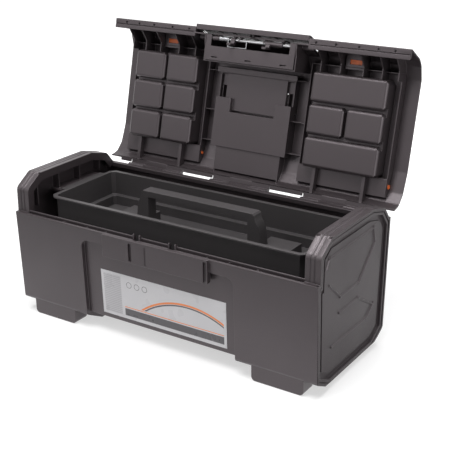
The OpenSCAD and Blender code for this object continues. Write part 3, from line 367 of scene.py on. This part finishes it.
labelLook = {
    "paper": (0.66, 0.65, 0.67),
    "dark": (0.085, 0.08, 0.088),
    "accent": (0.88, 0.26, 0.07),
    "column": (0.55, 0.54, 0.56),
    "rows": (0.4, 0.39, 0.41),
    # boxes of left, right, lower and upper distances from the lower left corner
    "columnBox": (5, 41, 5, 75),
    "bandBox": (47, 244, 6, 19),
    "lineBox": (47, 244, 21, 22.4),
    "fieldBox": (47, 244, 24, 75),
    "archCentre": (176, -95),
    "darkArch": (146, 148.4),
    "accentArch": (149.2, 152.5),
    "ringHeight": 63,
    "ringPlaces": (58, 74, 90),
    "ringSize": (4.6, 5.4),
    "rowPitch": 3.4,
    "rowShare": 0.3,
    "ripple": 35,
    "roughness": (0.25, 0.36),
    "bump": 0.08,
    "depth": 0.0004,
}


def labelFilm(look):
    # a generic printed film: a grey column of fine rows, a dark band, an arch and three rings
    material, tree, shader, coordinates = startMaterial("labelFilm")
    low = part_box("label")[0]
    split = tree.nodes.new("ShaderNodeSeparateXYZ")
    tree.links.new(coordinates.outputs["Object"], split.inputs[0])

    def calc(operation, *values):
        node = tree.nodes.new("ShaderNodeMath")
        node.operation = operation
        for socket, value in zip(node.inputs, values):
            if hasattr(value, "is_linked"):
                tree.links.new(value, socket)
            else:
                socket.default_value = value
        return node.outputs[0]

    along = calc("DIVIDE", calc("SUBTRACT", split.outputs["X"], low[0]), mm)
    height = calc("DIVIDE", calc("SUBTRACT", split.outputs["Z"], low[2]), mm)

    def between(value, least, most):
        return calc("MULTIPLY", calc("GREATER_THAN", value, least), calc("LESS_THAN", value, most))

    def inBox(box):
        return calc("MULTIPLY", between(along, *box[:2]), between(height, *box[2:]))

    def ring(centre, radii):
        across, up = calc("SUBTRACT", along, centre[0]), calc("SUBTRACT", height, centre[1])
        distance = calc("SQRT", calc("ADD", calc("MULTIPLY", across, across),
                                     calc("MULTIPLY", up, up)))
        return between(distance, *radii)

    field = inBox(look["fieldBox"])
    rows = calc("LESS_THAN", calc("FRACT", calc("DIVIDE", height, look["rowPitch"])),
                look["rowShare"])
    column = inBox(look["columnBox"])
    colour = mixColours(tree, column, look["paper"], look["column"])
    colour = mixColours(tree, calc("MULTIPLY", column, rows), colour, look["rows"])
    colour = mixColours(tree, calc("MULTIPLY", field, ring(look["archCentre"], look["darkArch"])),
                        colour, look["dark"])
    colour = mixColours(tree, calc("MULTIPLY", field, ring(look["archCentre"], look["accentArch"])),
                        colour, look["accent"])
    for place in look["ringPlaces"]:
        colour = mixColours(tree, ring((place, look["ringHeight"]), look["ringSize"]), colour,
                            look["dark"])
    colour = mixColours(tree, inBox(look["bandBox"]), colour, look["dark"])
    colour = mixColours(tree, inBox(look["lineBox"]), colour, look["accent"])
    tree.links.new(colour, shader.inputs["Base Color"])
    ripple = tree.nodes.new("ShaderNodeTexNoise")
    ripple.inputs["Scale"].default_value = look["ripple"]
    tree.links.new(coordinates.outputs["Object"], ripple.inputs["Vector"])
    tree.links.new(mapRange(tree, ripple.outputs[0], *look["roughness"]),
                   shader.inputs["Roughness"])
    addBump(tree, shader, ripple.outputs[0], look["bump"], look["depth"])
    return material


labelPaper = labelFilm(labelLook)
print("materials ready")


# ---- moulded pieces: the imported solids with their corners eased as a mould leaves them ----
# faces, edges and corners are kept in dictionaries, in the mesh's order, and not in sets,
# so that each run gives the same mesh
flatCosine = math.cos(math.radians(0.5))
sharpAngle = math.radians(28)
straightAngle = 0.001
weldDistance = 0.02 * mm
bevelSegments = 2
shadingWeight = 80


def flatRegions(bm):
    # groups of neighbouring faces that lie in one plane
    left = dict.fromkeys(bm.faces)
    while left:
        first = next(iter(left))
        del left[first]
        region, front = {first: None}, [first]
        while front:
            for edge in front.pop().edges:
                for face in edge.link_faces:
                    if face in left and face.normal.dot(first.normal) > flatCosine:
                        del left[face]
                        region[face] = None
                        front.append(face)
        yield region


def joinFlats(bm, narrowHalf):
    # a flat region without holes becomes one face; one with holes keeps its triangles, and so
    # does a narrow one, which also stays out of the easing
    eased = bm.edges.layers.float.new("bevel_weight_edge")
    for edge in bm.edges:
        edge[eased] = float(edge.is_manifold and edge.calc_face_angle() > sharpAngle)
    inner = {}
    for region in list(flatRegions(bm)):
        corners = dict.fromkeys(vert for face in region for vert in face.verts)
        edges = dict.fromkeys(edge for face in region for edge in face.edges)
        within = {edge: None for edge in edges
                  if all(face in region for face in edge.link_faces)}
        around = sum(edge.calc_length() for edge in edges if edge not in within)
        if sum(face.calc_area() for face in region) < narrowHalf * around:
            for edge in edges:
                edge[eased] = 0.0
        elif len(corners) - len(edges) + len(region) == 1:
            inner.update(within)
    bmesh.ops.dissolve_edges(bm, edges=list(inner), use_verts=False, use_face_split=False)
    spare = [vert for vert in bm.verts if len(vert.link_edges) == 2
             and vert.calc_edge_angle(0) < straightAngle]
    bmesh.ops.dissolve_verts(bm, verts=spare, use_face_split=False)


def dressNode(nodeName, pieceName, body, material, look):
    bm = bmesh.new()
    bm.from_mesh(nodes[nodeName].data)
    bmesh.ops.remove_doubles(bm, verts=bm.verts, dist=weldDistance)
    joinFlats(bm, look.get("narrowHalf", 0))
    mesh = bpy.data.meshes.new(pieceName)
    bm.to_mesh(mesh)
    bm.free()
    mesh.materials.append(material)
    piece = bpy.data.objects.new(pieceName, mesh)
    scene.collection.objects.link(piece)
    mesh.shade_smooth()
    bevel = piece.modifiers.new("easedEdges", "BEVEL")
    bevel.width = look["edge"]
    bevel.segments = bevelSegments
    bevel.limit_method = "WEIGHT"
    bevel.use_clamp_overlap = False
    bevel.miter_outer = "MITER_ARC"
    weighted = piece.modifiers.new("evenShading", "WEIGHTED_NORMAL")
    weighted.keep_sharp = False
    weighted.weight = shadingWeight
    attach(piece, body)
    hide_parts(nodeName)


# widths of the eased edges, and half the width under which a face counts as narrow
tub = {"edge": 0.0007, "narrowHalf": 0.0007, "slot": "body_plastic"}
lid = {"edge": 0.0006, "slot": "body_plastic"}
tray = {"edge": 0.00045, "slot": "tray_plastic"}
small = {"edge": 0.0005, "slot": "body_plastic"}
orange = {"edge": 0.0004, "slot": "orange_plastic"}

dressNode("tub", "tubShell", "tub", bodyPlastic, tub)
dressNode("tray", "trayShell", "tray", trayPlastic, tray)
dressNode("lid", "lidShell", "lid", bodyPlastic, lid)
for nodeName, pieceName, body in (
        ("organiser_bin_left", "binLeft", "lid"),
        ("organiser_bin_right", "binRight", "lid"),
        ("latch_lever", "latchCap", "front_latch"),
        ("latch_frame", "latchFrame", "front_latch"),
        ("latch_plate", "latchPlate", "lid"),
        ("carry_handle", "carryHandle", "carry_handle"),
        ("organiser_cover_left", "coverLeft", "organiser_cover_left"),
        ("organiser_cover_right", "coverRight", "organiser_cover_right")):
    dressNode(nodeName, pieceName, body, bodyPlastic, small)
for side in ("left", "right"):
    dressNode("cover_latch_" + side, "coverLatch" + side.title(), "cover_latch_" + side,
              orangePlastic, orange)
print("moulded pieces ready")


# ---- finishes of the carried-over nodes ----
finishes = {
    "label": labelPaper,
    "latch_rod": steel,
    "latch_spring": steel,
    "latch_screw": steel,
    "cover_pin": orangePlastic,
    "hinge_pin": pinPlastic,
    "handle_pin": pinPlastic,
}
for nodeName, node in nodes.items():
    for start, material in finishes.items():
        if nodeName.startswith(start):
            for slot in node.material_slots:
                slot.material = material
print("finishes ready")
